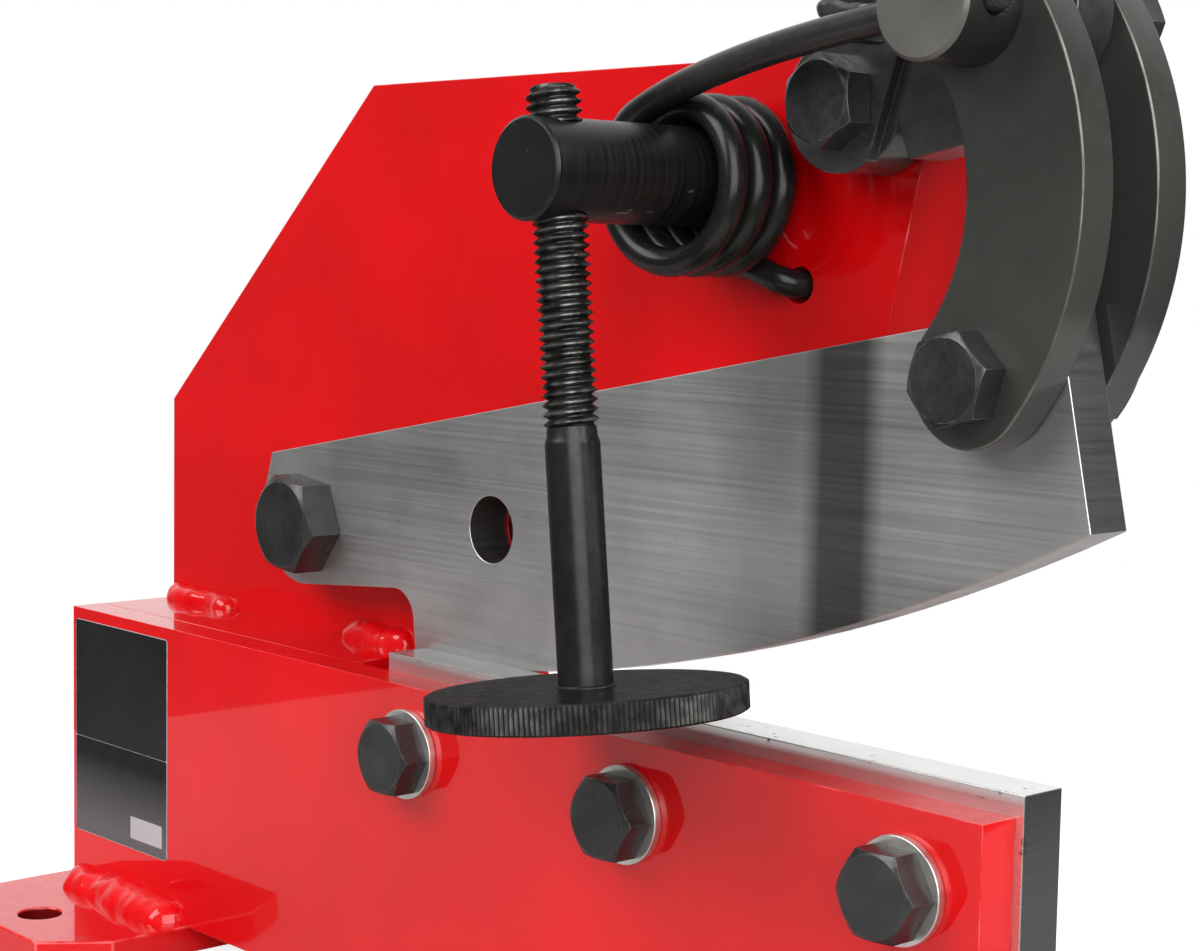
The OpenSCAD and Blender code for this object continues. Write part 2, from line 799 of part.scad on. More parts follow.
function tangent(p, i) = unit(p[min(i + 1, len(p) - 1)] - p[max(i - 1, 0)]);
function square_to(n, t) = unit(n - (n * t) * t);
wire_sides = 6;
wire_rings = [
    for (i = 0, n = [1, 0, 0]; i < len(wire_path); i = i + 1, n = square_to(n, tangent(wire_path, i)))
    let (b = cross(tangent(wire_path, i), n))
    [for (k = [0:wire_sides - 1])
        let (a = 2 * half_turn * k / wire_sides)
        wire_path[i] + wire_d / 2 * (n * cos(a) + b * sin(a))]
];
wire_last = (len(wire_path) - 1) * wire_sides;
wire_faces = concat(
    [for (i = [0:len(wire_path) - 2]) for (k = [0:wire_sides - 1])
        let (a = i * wire_sides, b = a + wire_sides, next = (k + 1) % wire_sides)
        each [[a + k, b + k, b + next], [a + k, b + next, a + next]]],
    [for (k = [1:wire_sides - 2]) [0, k, k + 1]],
    [for (k = [1:wire_sides - 2]) [wire_last, wire_last + k + 1, wire_last + k]]
);
// Least distance between stretches of the wire that are half a turn or more apart
half_turn_rings = round(half_turn / ring_angle);
spring_gap = min([for (i = [0:len(wire_path) - 1])
    for (j = [i + half_turn_rings:1:len(wire_path) - 1]) norm(wire_path[i] - wire_path[j])]) - wire_d;
echo(str("least gap of the return spring to itself, mm: ", spring_gap));

module return_spring() {
    color(black) polyhedron([for (ring = wire_rings) each ring], wire_faces);
}

front_plate();
back_plate();
spacer_block();
ledge_bar();
left_foot();
right_foot();
weld_beads();
lower_blade();
lower_blade_bolts();
lower_blade_washers();
upper_blade();
blade_pivot_bolt();
blade_pivot_shim();
blade_pivot_washer();
blade_pivot_nut();
front_link();
rear_link();
link_blade_bolt();
link_blade_washer();
link_blade_nut();
link_pin();
link_pin_washer();
link_pin_nut();
lever_plate();
lever_pivot_bolt();
lever_pivot_shim();
lever_pivot_washer();
lever_pivot_nut();
handle_socket();
handle_tube();
handle_bolt();
handle_nut();
handle_grip();
hold_down_bar();
bar_fixing_bolt();
bar_fixing_washer();
hold_down_screw();
hold_down_disc();
return_spring();
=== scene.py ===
import json
import math

import bmesh
import bpy
from mathutils import Matrix, Vector
from mathutils import noise as lumps

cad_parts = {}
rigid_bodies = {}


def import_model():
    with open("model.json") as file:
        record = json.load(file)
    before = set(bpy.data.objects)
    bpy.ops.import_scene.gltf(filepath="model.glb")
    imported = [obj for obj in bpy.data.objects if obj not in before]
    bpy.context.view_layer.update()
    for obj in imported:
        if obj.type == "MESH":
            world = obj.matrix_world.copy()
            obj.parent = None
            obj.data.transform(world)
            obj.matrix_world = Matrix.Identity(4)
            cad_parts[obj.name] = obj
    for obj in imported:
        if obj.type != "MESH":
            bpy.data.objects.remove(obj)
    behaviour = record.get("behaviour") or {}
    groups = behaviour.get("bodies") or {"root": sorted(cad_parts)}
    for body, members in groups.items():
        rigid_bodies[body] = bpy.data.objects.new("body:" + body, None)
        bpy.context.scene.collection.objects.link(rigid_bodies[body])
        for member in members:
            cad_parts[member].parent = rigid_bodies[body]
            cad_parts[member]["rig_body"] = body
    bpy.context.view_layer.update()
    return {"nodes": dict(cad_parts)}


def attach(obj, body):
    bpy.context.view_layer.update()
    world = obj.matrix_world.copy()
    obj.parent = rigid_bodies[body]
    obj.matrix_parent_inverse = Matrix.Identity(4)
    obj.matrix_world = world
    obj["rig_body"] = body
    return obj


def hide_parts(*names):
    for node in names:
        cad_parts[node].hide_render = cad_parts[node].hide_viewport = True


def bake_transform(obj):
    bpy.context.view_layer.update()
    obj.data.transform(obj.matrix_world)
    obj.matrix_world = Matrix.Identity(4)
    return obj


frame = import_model()
mm = 0.001  # sizes below are in millimetres unless a note says otherwise
print("frame loaded:", len(frame["nodes"]), "nodes")

# Shared by several pieces: x and z of an axis, y of a face, and the lever's lean in degrees
places = {
    "leverPivot": (83.017, 171.276),
    "linkPin": (113.649, 183.28),
    "linkBolt": (114.207, 129.983),
    "bladePivot": (-60.0, 92.0),
    "bar": (54.517, 160.076),
    "coil": (54.517, 158.776),
    "frontFace": -16.2,
    "backFace": 9.4,
    "rearFace": 24.4,
    "leverLean": 8.0,
}


# Shader helpers

midSpan = (0.3, 0.7)  # most of a noise pattern's values lie between these
wearAndSheenDetail = 3


def addNode(tree, kind, inputs=None, **settings):
    made = tree.nodes.new("ShaderNode" + kind)
    for key, value in settings.items():
        setattr(made, key, value)
    for key, value in (inputs or {}).items():
        plug(tree, made.inputs[key], value)
    return made


def plug(tree, socket, value):
    if isinstance(value, bpy.types.NodeSocket):
        tree.links.new(value, socket)
    else:
        socket.default_value = value


def newFinish(name):
    finish = bpy.data.materials.new(name)
    finish.use_nodes = True
    tree = finish.node_tree
    shader = tree.nodes["Principled BSDF"]
    coords = tree.nodes.new("ShaderNodeTexCoord").outputs["Object"]
    return finish, tree, shader, coords


def grain(tree, coords, scale, detail, stretch=(1, 1, 1), rough=0.5):
    mapped = addNode(tree, "Mapping", {"Vector": coords, "Scale": stretch})
    values = {"Vector": mapped.outputs[0], "Scale": scale, "Detail": detail, "Roughness": rough}
    return addNode(tree, "TexNoise", values).outputs[0]


def remap(tree, value, low, high, toLow, toHigh):
    values = {"Value": value, "From Min": low, "From Max": high, "To Min": toLow, "To Max": toHigh}
    return addNode(tree, "MapRange", values).outputs[0]


def patches(tree, coords, pattern, span=midSpan, most=1):
    return remap(tree, grain(tree, coords, *pattern), *span, 0, most)


def times(tree, first, second):
    made = addNode(tree, "Math", operation="MULTIPLY", use_clamp=True)
    plug(tree, made.inputs[0], first)
    plug(tree, made.inputs[1], second)
    return made.outputs[0]


def mixed(tree, share, first, second):
    made = addNode(tree, "Mix", data_type="RGBA")
    for index, value in ((0, share), (6, first), (7, second)):
        plug(tree, made.inputs[index], (*value, 1) if isinstance(value, tuple) else value)
    return made.outputs[2]


def vertexShare(tree, name):
    return addNode(tree, "Attribute", attribute_name=name).outputs["Fac"]


# Mixes in the dark colour where the attribute is set: painted shade on blade ends and bore walls,
# blackening on the pin boss's side
def withPaintedShadeAndBlackening(tree, colour, dark):
    return mixed(tree, vertexShare(tree, "paintedShadeAndBlackening"), colour, dark)


def cloudColour(tree, coords, look):
    cloud = patches(tree, coords, look["cloud"], look.get("cloudSpan", midSpan))
    return cloud, mixed(tree, cloud, look["deep"], look["soft"])


# Mixes the edge colour into the softened edges in patches: worn edges on the metals and black finishes, a
# painted highlight on the red paint
def wearAndSheenEdges(tree, coords, look, colour):
    low, high, scale = look["wearAndSheen"]
    patchy = patches(tree, coords, (scale, wearAndSheenDetail), (low, high))
    wearAndSheenMask = times(tree, vertexShare(tree, "wearAndSheen"), patchy)
    if "wearAndSheenShare" in look:
        wearAndSheenMask = times(tree, wearAndSheenMask, look["wearAndSheenShare"])
    return mixed(tree, wearAndSheenMask, colour, look["edge"])


def closeFinish(tree, shader, look, colour, gloss, **heights):
    plug(tree, shader.inputs["Base Color"], colour)
    plug(tree, shader.inputs["Roughness"], remap(tree, gloss, *midSpan, *look["rough"]))
    for name, value in look.get("fixed", {}).items():
        shader.inputs[name].default_value = value
    normal = None
    for name, height in heights.items():
        strength, distance = look["bumps"][name]
        bump = addNode(tree, "Bump", {"Height": height, "Strength": strength, "Distance": distance * mm})
        if normal is not None:
            tree.links.new(normal, bump.inputs["Normal"])
        normal = bump.outputs[0]
    tree.links.new(normal, shader.inputs["Normal"])


# Finishes. A pattern is its scale and detail, then its stretch and roughness where they differ from plain.
# Wear and sheen is the low and high end of its patches and their scale (on red paint, a painted highlight
# along the edges); a bump is its strength and its depth.

paintLook = {
    "deep": (0.54, 0.001, 0.002), "soft": (0.64, 0.001, 0.004),
    # shade: painted shade on the bore walls of the bar hole and the bench holes
    "edge": (0.90, 0.26, 0.25), "paintedShadeAndBlackening": (0.035, 0.003, 0.003),
    "cloud": (22, 2), "cloudSpan": (0.35, 0.65), "fine": (380, 2), "runs": (60, 2, (1, 1, 0.08)),
    # The pink edge colour, laid in patches along the softened edges, is a painted highlight
    "wearAndSheen": (0.45, 0.75, 160), "wearAndSheenShare": 0.75, "rough": (0.30, 0.42),
    "fixed": {"Coat Weight": 1.0, "Coat Roughness": 0.03, "Coat IOR": 1.42, "Specular IOR Level": 0.1},
    "bumps": {"cloud": (0.12, 0.5), "runs": (0.22, 0.6), "fine": (0.05, 0.1)},
}


def makeRedPaint():
    look = paintLook
    finish, tree, shader, coords = newFinish("redPaint")
    cloud, colour = cloudColour(tree, coords, look)
    colour = withPaintedShadeAndBlackening(tree, wearAndSheenEdges(tree, coords, look, colour), look["paintedShadeAndBlackening"])
    fine, runs = grain(tree, coords, *look["fine"]), grain(tree, coords, *look["runs"])
    closeFinish(tree, shader, look, colour, fine, cloud=cloud, runs=runs, fine=fine)
    return finish


steelLook = {
    "upper": {
        "deep": (0.34, 0.34, 0.338), "soft": (0.66, 0.66, 0.655),
        "rough": (0.30, 0.46), "pitSpan": (0.72, 0.78),
    },
    "lower": {
        "deep": (0.62, 0.62, 0.61), "soft": (0.86, 0.86, 0.85),
        "rough": (0.18, 0.30), "pitSpan": (0.66, 0.72),
    },
    # shade: painted shade on the blades' right ends and the bar hole, and the colour of the painted
    # reflection band
    "pit": (0.055, 0.052, 0.050), "edge": (0.50, 0.50, 0.48), "paintedShadeAndBlackening": (0.060, 0.060, 0.058),
    "cloud": (26, 4), "lines": (60, 5, (0.25, 1, 22), 0.65), "lineSpan": (0.35, 0.75), "lineShare": 0.18,
    "pits": (520, 2), "sparse": (70, 2), "sparseSpan": (0.45, 0.7), "wearAndSheen": (0.2, 0.5, 200),
    "reflectionBand": (77.5, 90.5), "reflectionBandEdge": 2.2, "reflectionBandShare": 0.82,  # painted reflection: a dark band across the upper blade, along x, standing in for a dark thing mirrored in the ground steel
    "fixed": {"Metallic": 0.9},
    "bumps": {"lines": (0.09, 0.05), "pits": (-0.4, 0.1), "cloud": (0.06, 0.3)},
}


def makeGroundSteel(kind):
    look = {**steelLook, **steelLook[kind]}
    finish, tree, shader, coords = newFinish(kind + "BladeSteel")
    cloud, colour = cloudColour(tree, coords, look)
    lines = grain(tree, coords, *look["lines"])
    streaks = remap(tree, lines, *look["lineSpan"], 0, look["lineShare"])
    colour = mixed(tree, streaks, colour, look["deep"])
    pits = patches(tree, coords, look["pits"], look["pitSpan"])
    pits = times(tree, pits, patches(tree, coords, look["sparse"], look["sparseSpan"]))
    colour = mixed(tree, pits, colour, look["pit"])
    # The upper blade gets a painted reflection: a dark band mixed towards the painted shade colour
    if kind == "upper":
        reflectionBand = times(tree, paintedReflectionBand(tree, coords), look["reflectionBandShare"])
        colour = mixed(tree, reflectionBand, colour, look["paintedShadeAndBlackening"])
    colour = wearAndSheenEdges(tree, coords, look, withPaintedShadeAndBlackening(tree, colour, look["paintedShadeAndBlackening"]))
    closeFinish(tree, shader, look, colour, lines, lines=lines, pits=pits, cloud=cloud)
    return finish


# Painted reflection: a band along x with soft sides, where a dark thing mirrors in the upper blade
def paintedReflectionBand(tree, coords):
    (low, high), edge = steelLook["reflectionBand"], steelLook["reflectionBandEdge"]
    along = addNode(tree, "SeparateXYZ", {"Vector": coords}).outputs["X"]
    rise = remap(tree, along, (low - edge) * mm, (low + edge) * mm, 0, 1)
    fall = remap(tree, along, (high - edge) * mm, (high + edge) * mm, 1, 0)
    return times(tree, rise, fall)


bareSteel = (0.34, 0.33, 0.31)  # where a black finish has worn through

oxideLook = {
    "deep": (0.023, 0.023, 0.023), "soft": (0.050, 0.050, 0.050), "edge": bareSteel,
    "cloud": (120, 4), "fine": (900, 3), "wearAndSheen": (0.40, 0.62, 420), "rough": (0.24, 0.42),
    "fixed": {"Metallic": 0.55}, "bumps": {"fine": (0.12, 0.05), "cloud": (0.08, 0.2)},
}


def makeBlackOxide():
    look = oxideLook
    finish, tree, shader, coords = newFinish("blackOxide")
    cloud, colour = cloudColour(tree, coords, look)
    colour = wearAndSheenEdges(tree, coords, look, colour)
    fine = grain(tree, coords, *look["fine"])
    closeFinish(tree, shader, look, colour, fine, fine=fine, cloud=cloud)
    return finish


barLook = {
    "deep": (0.008, 0.008, 0.008), "soft": (0.020, 0.019, 0.018), "edge": bareSteel,
    "lines": (150, 4, (0.2, 9, 0.2), 0.6), "lineSpan": (0.35, 0.75),
    "scuffs": (600, 2, (1, 0.3, 1)), "scuffSpan": (0.70, 0.78), "scuffShare": 0.5,
    "wearAndSheen": (0.30, 0.55, 300), "rough": (0.26, 0.44),
    "fixed": {"Metallic": 0.5}, "bumps": {"lines": (0.14, 0.05)},
}


def makeTurnedBlack():
    look = barLook
    finish, tree, shader, coords = newFinish("turnedBlack")
    lines = grain(tree, coords, *look["lines"])
    colour = mixed(tree, remap(tree, lines, *look["lineSpan"], 0, 1), look["deep"], look["soft"])
    scuffs = patches(tree, coords, look["scuffs"], look["scuffSpan"], look["scuffShare"])
    colour = wearAndSheenEdges(tree, coords, look, mixed(tree, scuffs, colour, bareSteel))
    closeFinish(tree, shader, look, colour, lines, lines=lines)
    return finish


oiledLook = {
    "deep": (0.022, 0.022, 0.021), "soft": (0.036, 0.035, 0.034), "edge": bareSteel,
    "cloud": (90, 4), "fine": (500, 3), "wearAndSheen": (0.40, 0.62, 420), "rough": (0.24, 0.38),
    "fixed": {"Metallic": 0.7, "Specular Tint": (0.3, 0.3, 0.3, 1)},  # the tint keeps glancing faces dark
    "bumps": {"fine": (0.04, 0.03)},
}


def makeOiledBlack():
    look = oiledLook
    finish, tree, shader, coords = newFinish("oiledBlack")
    colour = wearAndSheenEdges(tree, coords, look, cloudColour(tree, coords, look)[1])
    fine = grain(tree, coords, *look["fine"])
    closeFinish(tree, shader, look, colour, fine, fine=fine)
    return finish


pinLook = {
    "deep": (0.10, 0.096, 0.088), "soft": (0.17, 0.163, 0.15),
    "edge": bareSteel, "paintedShadeAndBlackening": (0.030, 0.031, 0.028),
    "cloud": (70, 4), "lines": (120, 4, (0.4, 8, 0.4), 0.6),
    "wearAndSheen": (0.35, 0.6, 260), "rough": (0.30, 0.46),
    "fixed": {"Metallic": 0.6}, "bumps": {"lines": (0.12, 0.05), "cloud": (0.08, 0.2)},
}


def makePinGrey():
    look = pinLook
    finish, tree, shader, coords = newFinish("pinGrey")
    cloud, colour = cloudColour(tree, coords, look)
    colour = withPaintedShadeAndBlackening(tree, wearAndSheenEdges(tree, coords, look, colour), look["paintedShadeAndBlackening"])
    lines = grain(tree, coords, *look["lines"])
    closeFinish(tree, shader, look, colour, lines, lines=lines, cloud=cloud)
    return finish


zincLook = {
    "deep": (0.56, 0.55, 0.53), "soft": (0.80, 0.79, 0.77), "tint": (0.62, 0.59, 0.54),
    "cloud": (180, 4), "fine": (1100, 3), "tints": (60, 2), "tintSpan": (0.4, 0.6), "tintShare": 0.5,
    "rough": (0.28, 0.46),
    "fixed": {"Metallic": 0.95}, "bumps": {"fine": (0.12, 0.05), "cloud": (0.1, 0.1)},
}


def makeZinc():
    look = zincLook
    finish, tree, shader, coords = newFinish("zinc")
    cloud, colour = cloudColour(tree, coords, look)
    tint = patches(tree, coords, look["tints"], look["tintSpan"], look["tintShare"])
    fine = grain(tree, coords, *look["fine"])
    closeFinish(tree, shader, look, mixed(tree, tint, colour, look["tint"]), fine, fine=fine, cloud=cloud)
    return finish


linkLook = {
    "deep": (0.050, 0.050, 0.046), "soft": (0.078, 0.078, 0.072), "edge": (0.20, 0.19, 0.18),
    "cloud": (40, 3), "fine": (500, 3), "wearAndSheen": (0.35, 0.6, 220), "wearAndSheenShare": 0.7, "rough": (0.15, 0.25),
    "fixed": {"Metallic": 0.5}, "bumps": {"fine": (0.10, 0.05), "cloud": (0.06, 0.4)},
}


def makeLinkGrey():
    look = linkLook
    finish, tree, shader, coords = newFinish("linkGrey")
    cloud, colour = cloudColour(tree, coords, look)
    colour = wearAndSheenEdges(tree, coords, look, colour)
    fine = grain(tree, coords, *look["fine"])
    closeFinish(tree, shader, look, colour, fine, fine=fine, cloud=cloud)
    return finish


leverLook = {
    "deep": (0.014, 0.014, 0.014), "soft": (0.036, 0.036, 0.035), "edge": (0.18, 0.18, 0.17),
    "cloud": (55, 3), "fine": (300, 3), "wearAndSheen": (0.55, 0.72, 260), "wearAndSheenShare": 0.5, "rough": (0.22, 0.36),
    "fixed": {"Coat Weight": 0.5, "Coat Roughness": 0.08},
    "bumps": {"fine": (0.12, 0.12), "cloud": (0.12, 0.4)},
}


def makeBlackPaint():
    look = leverLook
    finish, tree, shader, coords = newFinish("blackPaint")
    cloud, colour = cloudColour(tree, coords, look)
    colour = wearAndSheenEdges(tree, coords, look, colour)
    fine = grain(tree, coords, *look["fine"])
    closeFinish(tree, shader, look, colour, fine, fine=fine, cloud=cloud)
    return finish


springLook = {
    "deep": (0.008, 0.008, 0.008), "soft": (0.018, 0.017, 0.016),
    "rub": (0.16, 0.15, 0.14), "rubs": (420, 3, (1, 0.4, 1)), "rubSpan": (0.68, 0.80), "rubShare": 0.18,
    "leg": (0.034, 0.032, 0.030), "legSheenLow": 0.6,  # the leg's painted sheen, a lighter grey than the coil, and its least share
    "cloud": (110, 4), "fine": (700, 3), "rough": (0.20, 0.30),
    "fixed": {"Metallic": 0.2, "Specular IOR Level": 0.3},
    "bumps": {"fine": (0.05, 0.05), "cloud": (0.05, 0.2)},
}


def makeSpringBlack():
    look = springLook
    finish, tree, shader, coords = newFinish("springBlack")
    cloud, colour = cloudColour(tree, coords, look)
    rub = patches(tree, coords, look["rubs"], look["rubSpan"], look["rubShare"])
    colour = mixed(tree, rub, colour, look["rub"])
    # Painted sheen: the leg is mixed towards a lighter grey
    leg = times(tree, vertexShare(tree, "wearAndSheen"), remap(tree, cloud, 0, 1, look["legSheenLow"], 1))
    fine = grain(tree, coords, *look["fine"])
    closeFinish(tree, shader, look, mixed(tree, leg, colour, look["leg"]), fine, fine=fine, cloud=cloud)
    return finish


rubberLook = {
    "deep": (0.010, 0.010, 0.010), "soft": (0.022, 0.022, 0.021),
    "cloud": (60, 3), "fine": (1200, 3), "rough": (0.52, 0.72), "bumps": {"fine": (0.25, 0.1)},
}


def makeGripRubber():
    look = rubberLook
    finish, tree, shader, coords = newFinish("gripRubber")
    colour = cloudColour(tree, coords, look)[1]
    fine = grain(tree, coords, *look["fine"])
    closeFinish(tree, shader, look, colour, fine, fine=fine)
    return finish


filmLook = {
    "charcoal": {"deep": (0.010, 0.010, 0.012), "soft": (0.015, 0.015, 0.017), "rough": (0.24, 0.34)},
    "black": {"deep": (0.005, 0.005, 0.006), "soft": (0.008, 0.008, 0.009), "rough": (0.24, 0.34)},
    "silver": {"deep": (0.38, 0.38, 0.39), "soft": (0.42, 0.42, 0.43), "rough": (0.6, 0.7)},
    "reflectionHeights": (36, 21), "floorReflectionGrey": (0.10, 0.097, 0.103),  # painted reflection of the pale floor: the black film is painted greyer towards the bottom, between these heights
    "cloud": (40, 1), "fine": (500, 2),
    "fixed": {"Specular IOR Level": 0.12}, "bumps": {"cloud": (0.05, 0.1), "fine": (0.02, 0.05)},
}


def makeFilm(kind):
    look = {**filmLook, **filmLook[kind]}
    finish, tree, shader, coords = newFinish("label" + kind.title())
    cloud, colour = cloudColour(tree, coords, look)
    if kind == "black":
        # Painted reflection of the floor: greyer towards the bottom
        up = addNode(tree, "SeparateXYZ", {"Vector": coords}).outputs["Z"]
        high, low = look["reflectionHeights"]
        colour = mixed(tree, remap(tree, up, high * mm, low * mm, 0, 1), colour, look["floorReflectionGrey"])
    fine = grain(tree, coords, *look["fine"])
    closeFinish(tree, shader, look, colour, fine, cloud=cloud, fine=fine)
    return finish


finishes = {
    "red_paint": makeRedPaint(),
    "ground_steel": makeGroundSteel("upper"),
    "black_oxide": makeBlackOxide(),
    "zinc": makeZinc(),
    "dark_link": makeLinkGrey(),
    "black_paint": makeBlackPaint(),
    "spring_wire": makeSpringBlack(),
    "grip_rubber": makeGripRubber(),
}
oiledBlack = makeOiledBlack()
ownFinishes = {
    "hold_down_bar": makeTurnedBlack(),
    "lower_blade": makeGroundSteel("lower"),
    "link_pin": makePinGrey(),
}
print("finishes made:", len(bpy.data.materials))


# Mesh helpers

meshCare = {
    "cadMerge": 2e-6, "merge": 1e-6,  # metres
    "flatTurn": 0.5, "edgeTurn": 28,  # degrees
}


def makePiece(name, bm, body, finish, nodes=(), sharp=35, even=True):
    mesh = bpy.data.meshes.new(name)
    bm.to_mesh(mesh)
    bm.free()
    mesh.materials.append(finish)
    mesh.shade_smooth()
    mesh.set_sharp_from_angle(angle=math.radians(sharp))
    piece = bpy.data.objects.new(name, mesh)
    bpy.context.scene.collection.objects.link(piece)
    if even:
        piece.modifiers.new("evenNormals", "WEIGHTED_NORMAL").keep_sharp = True
    if body:
        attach(piece, body)
    if nodes:
        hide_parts(*nodes)
    return piece


def cadCopy(node):
    bm = bmesh.new()
    bm.from_mesh(frame["nodes"][node].data)
    bmesh.ops.remove_doubles(bm, verts=bm.verts, dist=meshCare["cadMerge"])
    flat = math.radians(meshCare["flatTurn"])
    bmesh.ops.dissolve_limit(bm, angle_limit=flat, verts=bm.verts, edges=bm.edges, delimit={"NORMAL"})
    return bm


def softenEdges(bm, width):
    # The softened edges are marked for edge wear, and for the painted highlight on red paint
    wearAndSheen = bm.verts.layers.float.get("wearAndSheen") or bm.verts.layers.float.new("wearAndSheen")
    turn = math.radians(meshCare["edgeTurn"])
    edges = [e for e in bm.edges if len(e.link_faces) == 2 and e.calc_face_angle(0) > turn]
    made = bmesh.ops.bevel(bm, geom=edges, offset=width * mm, offset_type="OFFSET", affect="EDGES",
                           segments=2, profile=0.5, material=-1, clamp_overlap=True)
    soft = set(made["faces"])
    for v in bm.verts:
        if v.link_faces and all(f in soft for f in v.link_faces):
            v[wearAndSheen] = 1


def cutPast(bm, place, outward):
    geom = bm.verts[:] + bm.edges[:] + bm.faces[:]
    point = [c * mm for c in place]
    bmesh.ops.bisect_plane(bm, geom=geom, plane_co=point, plane_no=outward, clear_outer=True)


def closeEnds(bm):
    bmesh.ops.holes_fill(bm, edges=[e for e in bm.edges if e.is_boundary], sides=0)


def spun(bm, profile, steps, rise=0.0, closed=True):
    verts = [bm.verts.new((r * mm, 0, z * mm)) for r, z in profile]
    edges = [bm.edges.new(pair) for pair in zip(verts, verts[1:])]
    bmesh.ops.spin(bm, geom=verts + edges, cent=(0, 0, 0), axis=(0, 0, 1), angle=math.tau,
                   dvec=(0, 0, rise * mm / steps), steps=steps, use_merge=closed)


def turned(bm, profile, steps=48):
    spun(bm, profile, steps)
    bmesh.ops.remove_doubles(bm, verts=bm.verts, dist=meshCare["merge"])
    bmesh.ops.recalc_face_normals(bm, faces=bm.faces)


threadShape = {
    "depth": 0.58,  # share of the pitch
    "profile": ((0, 0), (0.12, 0), (0.46, 1), (0.62, 1)),  # share of the pitch, then root or crest
    "spareTurns": 3,  # past both ends, cut off again
    # Thread crests are painted lighter: partly worn steel, partly a painted highlight along them
    "crestBand": 0.05, "crestWearAndGlint": 0.4,
}


def threadRod(radius, pitch, low, high, lowCut, highCut, steps=28):
    s = threadShape
    bm = bmesh.new()
    root = radius - s["depth"] * pitch
    profile = []
    for i in range(math.ceil((high - low) / pitch) + s["spareTurns"]):
        z = low - pitch + i * pitch
        profile += [(radius if crest else root, z + share * pitch) for share, crest in s["profile"]]
    spun(bm, profile, steps, rise=pitch, closed=False)
    bmesh.ops.remove_doubles(bm, verts=bm.verts, dist=meshCare["cadMerge"])
    cutPast(bm, (0, 0, low), (0, 0, -1))
    cutPast(bm, (0, 0, high), (0, 0, 1))
    wearAndSheen = bm.verts.layers.float.new("wearAndSheen")
    for v in bm.verts:
        r = math.hypot(v.co.x, v.co.y)
        # Crests painted lighter: partly wear, partly a painted highlight
        v[wearAndSheen] = s["crestWearAndGlint"] if r > (radius - s["crestBand"]) * mm else 0
        limit = radius - max(0, lowCut - (v.co.z / mm - low)) - max(0, highCut - (high - v.co.z / mm))
        if r > limit * mm:
            v.co.x, v.co.y = v.co.x * limit * mm / r, v.co.y * limit * mm / r
    closeEnds(bm)
    bmesh.ops.recalc_face_normals(bm, faces=bm.faces)
    return bm


def joined(target, extra, matrix=None):
    mesh = bpy.data.meshes.new("part")
    extra.to_mesh(mesh)
    extra.free()
    if matrix is not None:
        mesh.transform(matrix)
    target.from_mesh(mesh)
    bpy.data.meshes.remove(mesh)


def moved(x, y, z):
    return Matrix.Translation(Vector((x, y, z)) * mm)


def turnedBy(degrees, axis):
    return Matrix.Rotation(math.radians(degrees), 4, axis)


# Rigid pieces that keep their CAD form and get soft edges: name and width of the softened edge

softPieces = {
    "front_plate": ("frontPlate", 0.8),
    "back_plate": ("backPlate", 0.7),
    "spacer_block": ("spacerBlock", 0.4),
    "ledge_bar": ("ledgeBar", 0.4),
    "left_foot": ("leftFoot", 0.6),
    "right_foot": ("rightFoot", 0.6),
    "lower_blade": ("lowerBlade", 0.18),
    "upper_blade": ("upperBlade", 0.2),
    "lower_blade_bolts": ("lowerBladeBolts", 0.16),
    "lower_blade_washers": ("lowerBladeWashers", 0.22),
    "blade_pivot_nut": ("bladePivotNut", 0.16),
    "blade_pivot_washer": ("bladePivotWasher", 0.22),
    "lever_pivot_nut": ("leverPivotNut", 0.16),
    "lever_pivot_washer": ("leverPivotWasher", 0.22),
    "link_blade_nut": ("linkBladeNut", 0.16),
    "link_blade_washer": ("linkBladeWasher", 0.22),
    "link_pin_nut": ("linkPinNut", 0.16),
    "link_pin_washer": ("linkPinWasher", 0.22),
    "bar_fixing_bolt": ("barFixingBolt", 0.16),
    "bar_fixing_washer": ("barFixingWasher", 0.22),
    "front_link": ("frontLink", 0.4),
    "rear_link": ("rearLink", 0.4),
    "lever_plate": ("leverPlate", 0.5),
    "hold_down_bar": ("holdDownBar", 0.18),
    "handle_socket": ("handleSocket", 0.5),
    "handle_tube": ("handleTube", 0.3),
    "handle_nut": ("handleNut", 0.16),
}
slots = {n: frame["nodes"][n].data.materials[0].name.split(".")[0] for n in frame["nodes"]}
bodies = {n: frame["nodes"][n]["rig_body"] for n in frame["nodes"]}


# Darker faces: painted shade on the blades' right ends, the bar hole and the bench holes, where shade
# falls; the side of the link pin's boss is its blackened finish.
# A hole is the place of its axis and a reach just past its radius.
shadePlaces = {
    "endArea": 60, "endTurn": 0.9, "paintedEndShade": 0.92, "paintedBoreShade": 0.85, "bossBlackening": 1, "sideTurn": 0.3,
    "barHole": (-2.4, 96.1, 6.6), "benchHole": (108.5, 34.8, 4.9),
}


# Painted shade on the blades' right ends and the bore walls; the link pin's boss side is its blackened
# finish
def faceShade(node, f):
    s = shadePlaces
    at = f.calc_center_median() / mm
    steel = slots[node] == "ground_steel"
    if steel or node == "back_plate":
        x, z, reach = s["barHole"]
        if math.hypot(at.x - x, at.z - z) < reach and abs(f.normal.y) < s["sideTurn"]:
            return s["paintedBoreShade"]
    if steel and f.normal.x > s["endTurn"] and f.calc_area() > s["endArea"] * mm * mm:
        return s["paintedEndShade"]
    if node in ("left_foot", "right_foot"):
        x, y, reach = s["benchHole"]
        if math.hypot(abs(at.x) - x, abs(at.y) - y) < reach and abs(f.normal.z) < s["sideTurn"]:
            return s["paintedBoreShade"]
    if node == "link_pin" and abs(f.normal.y) < s["sideTurn"]:
        return s["bossBlackening"]
    return 0


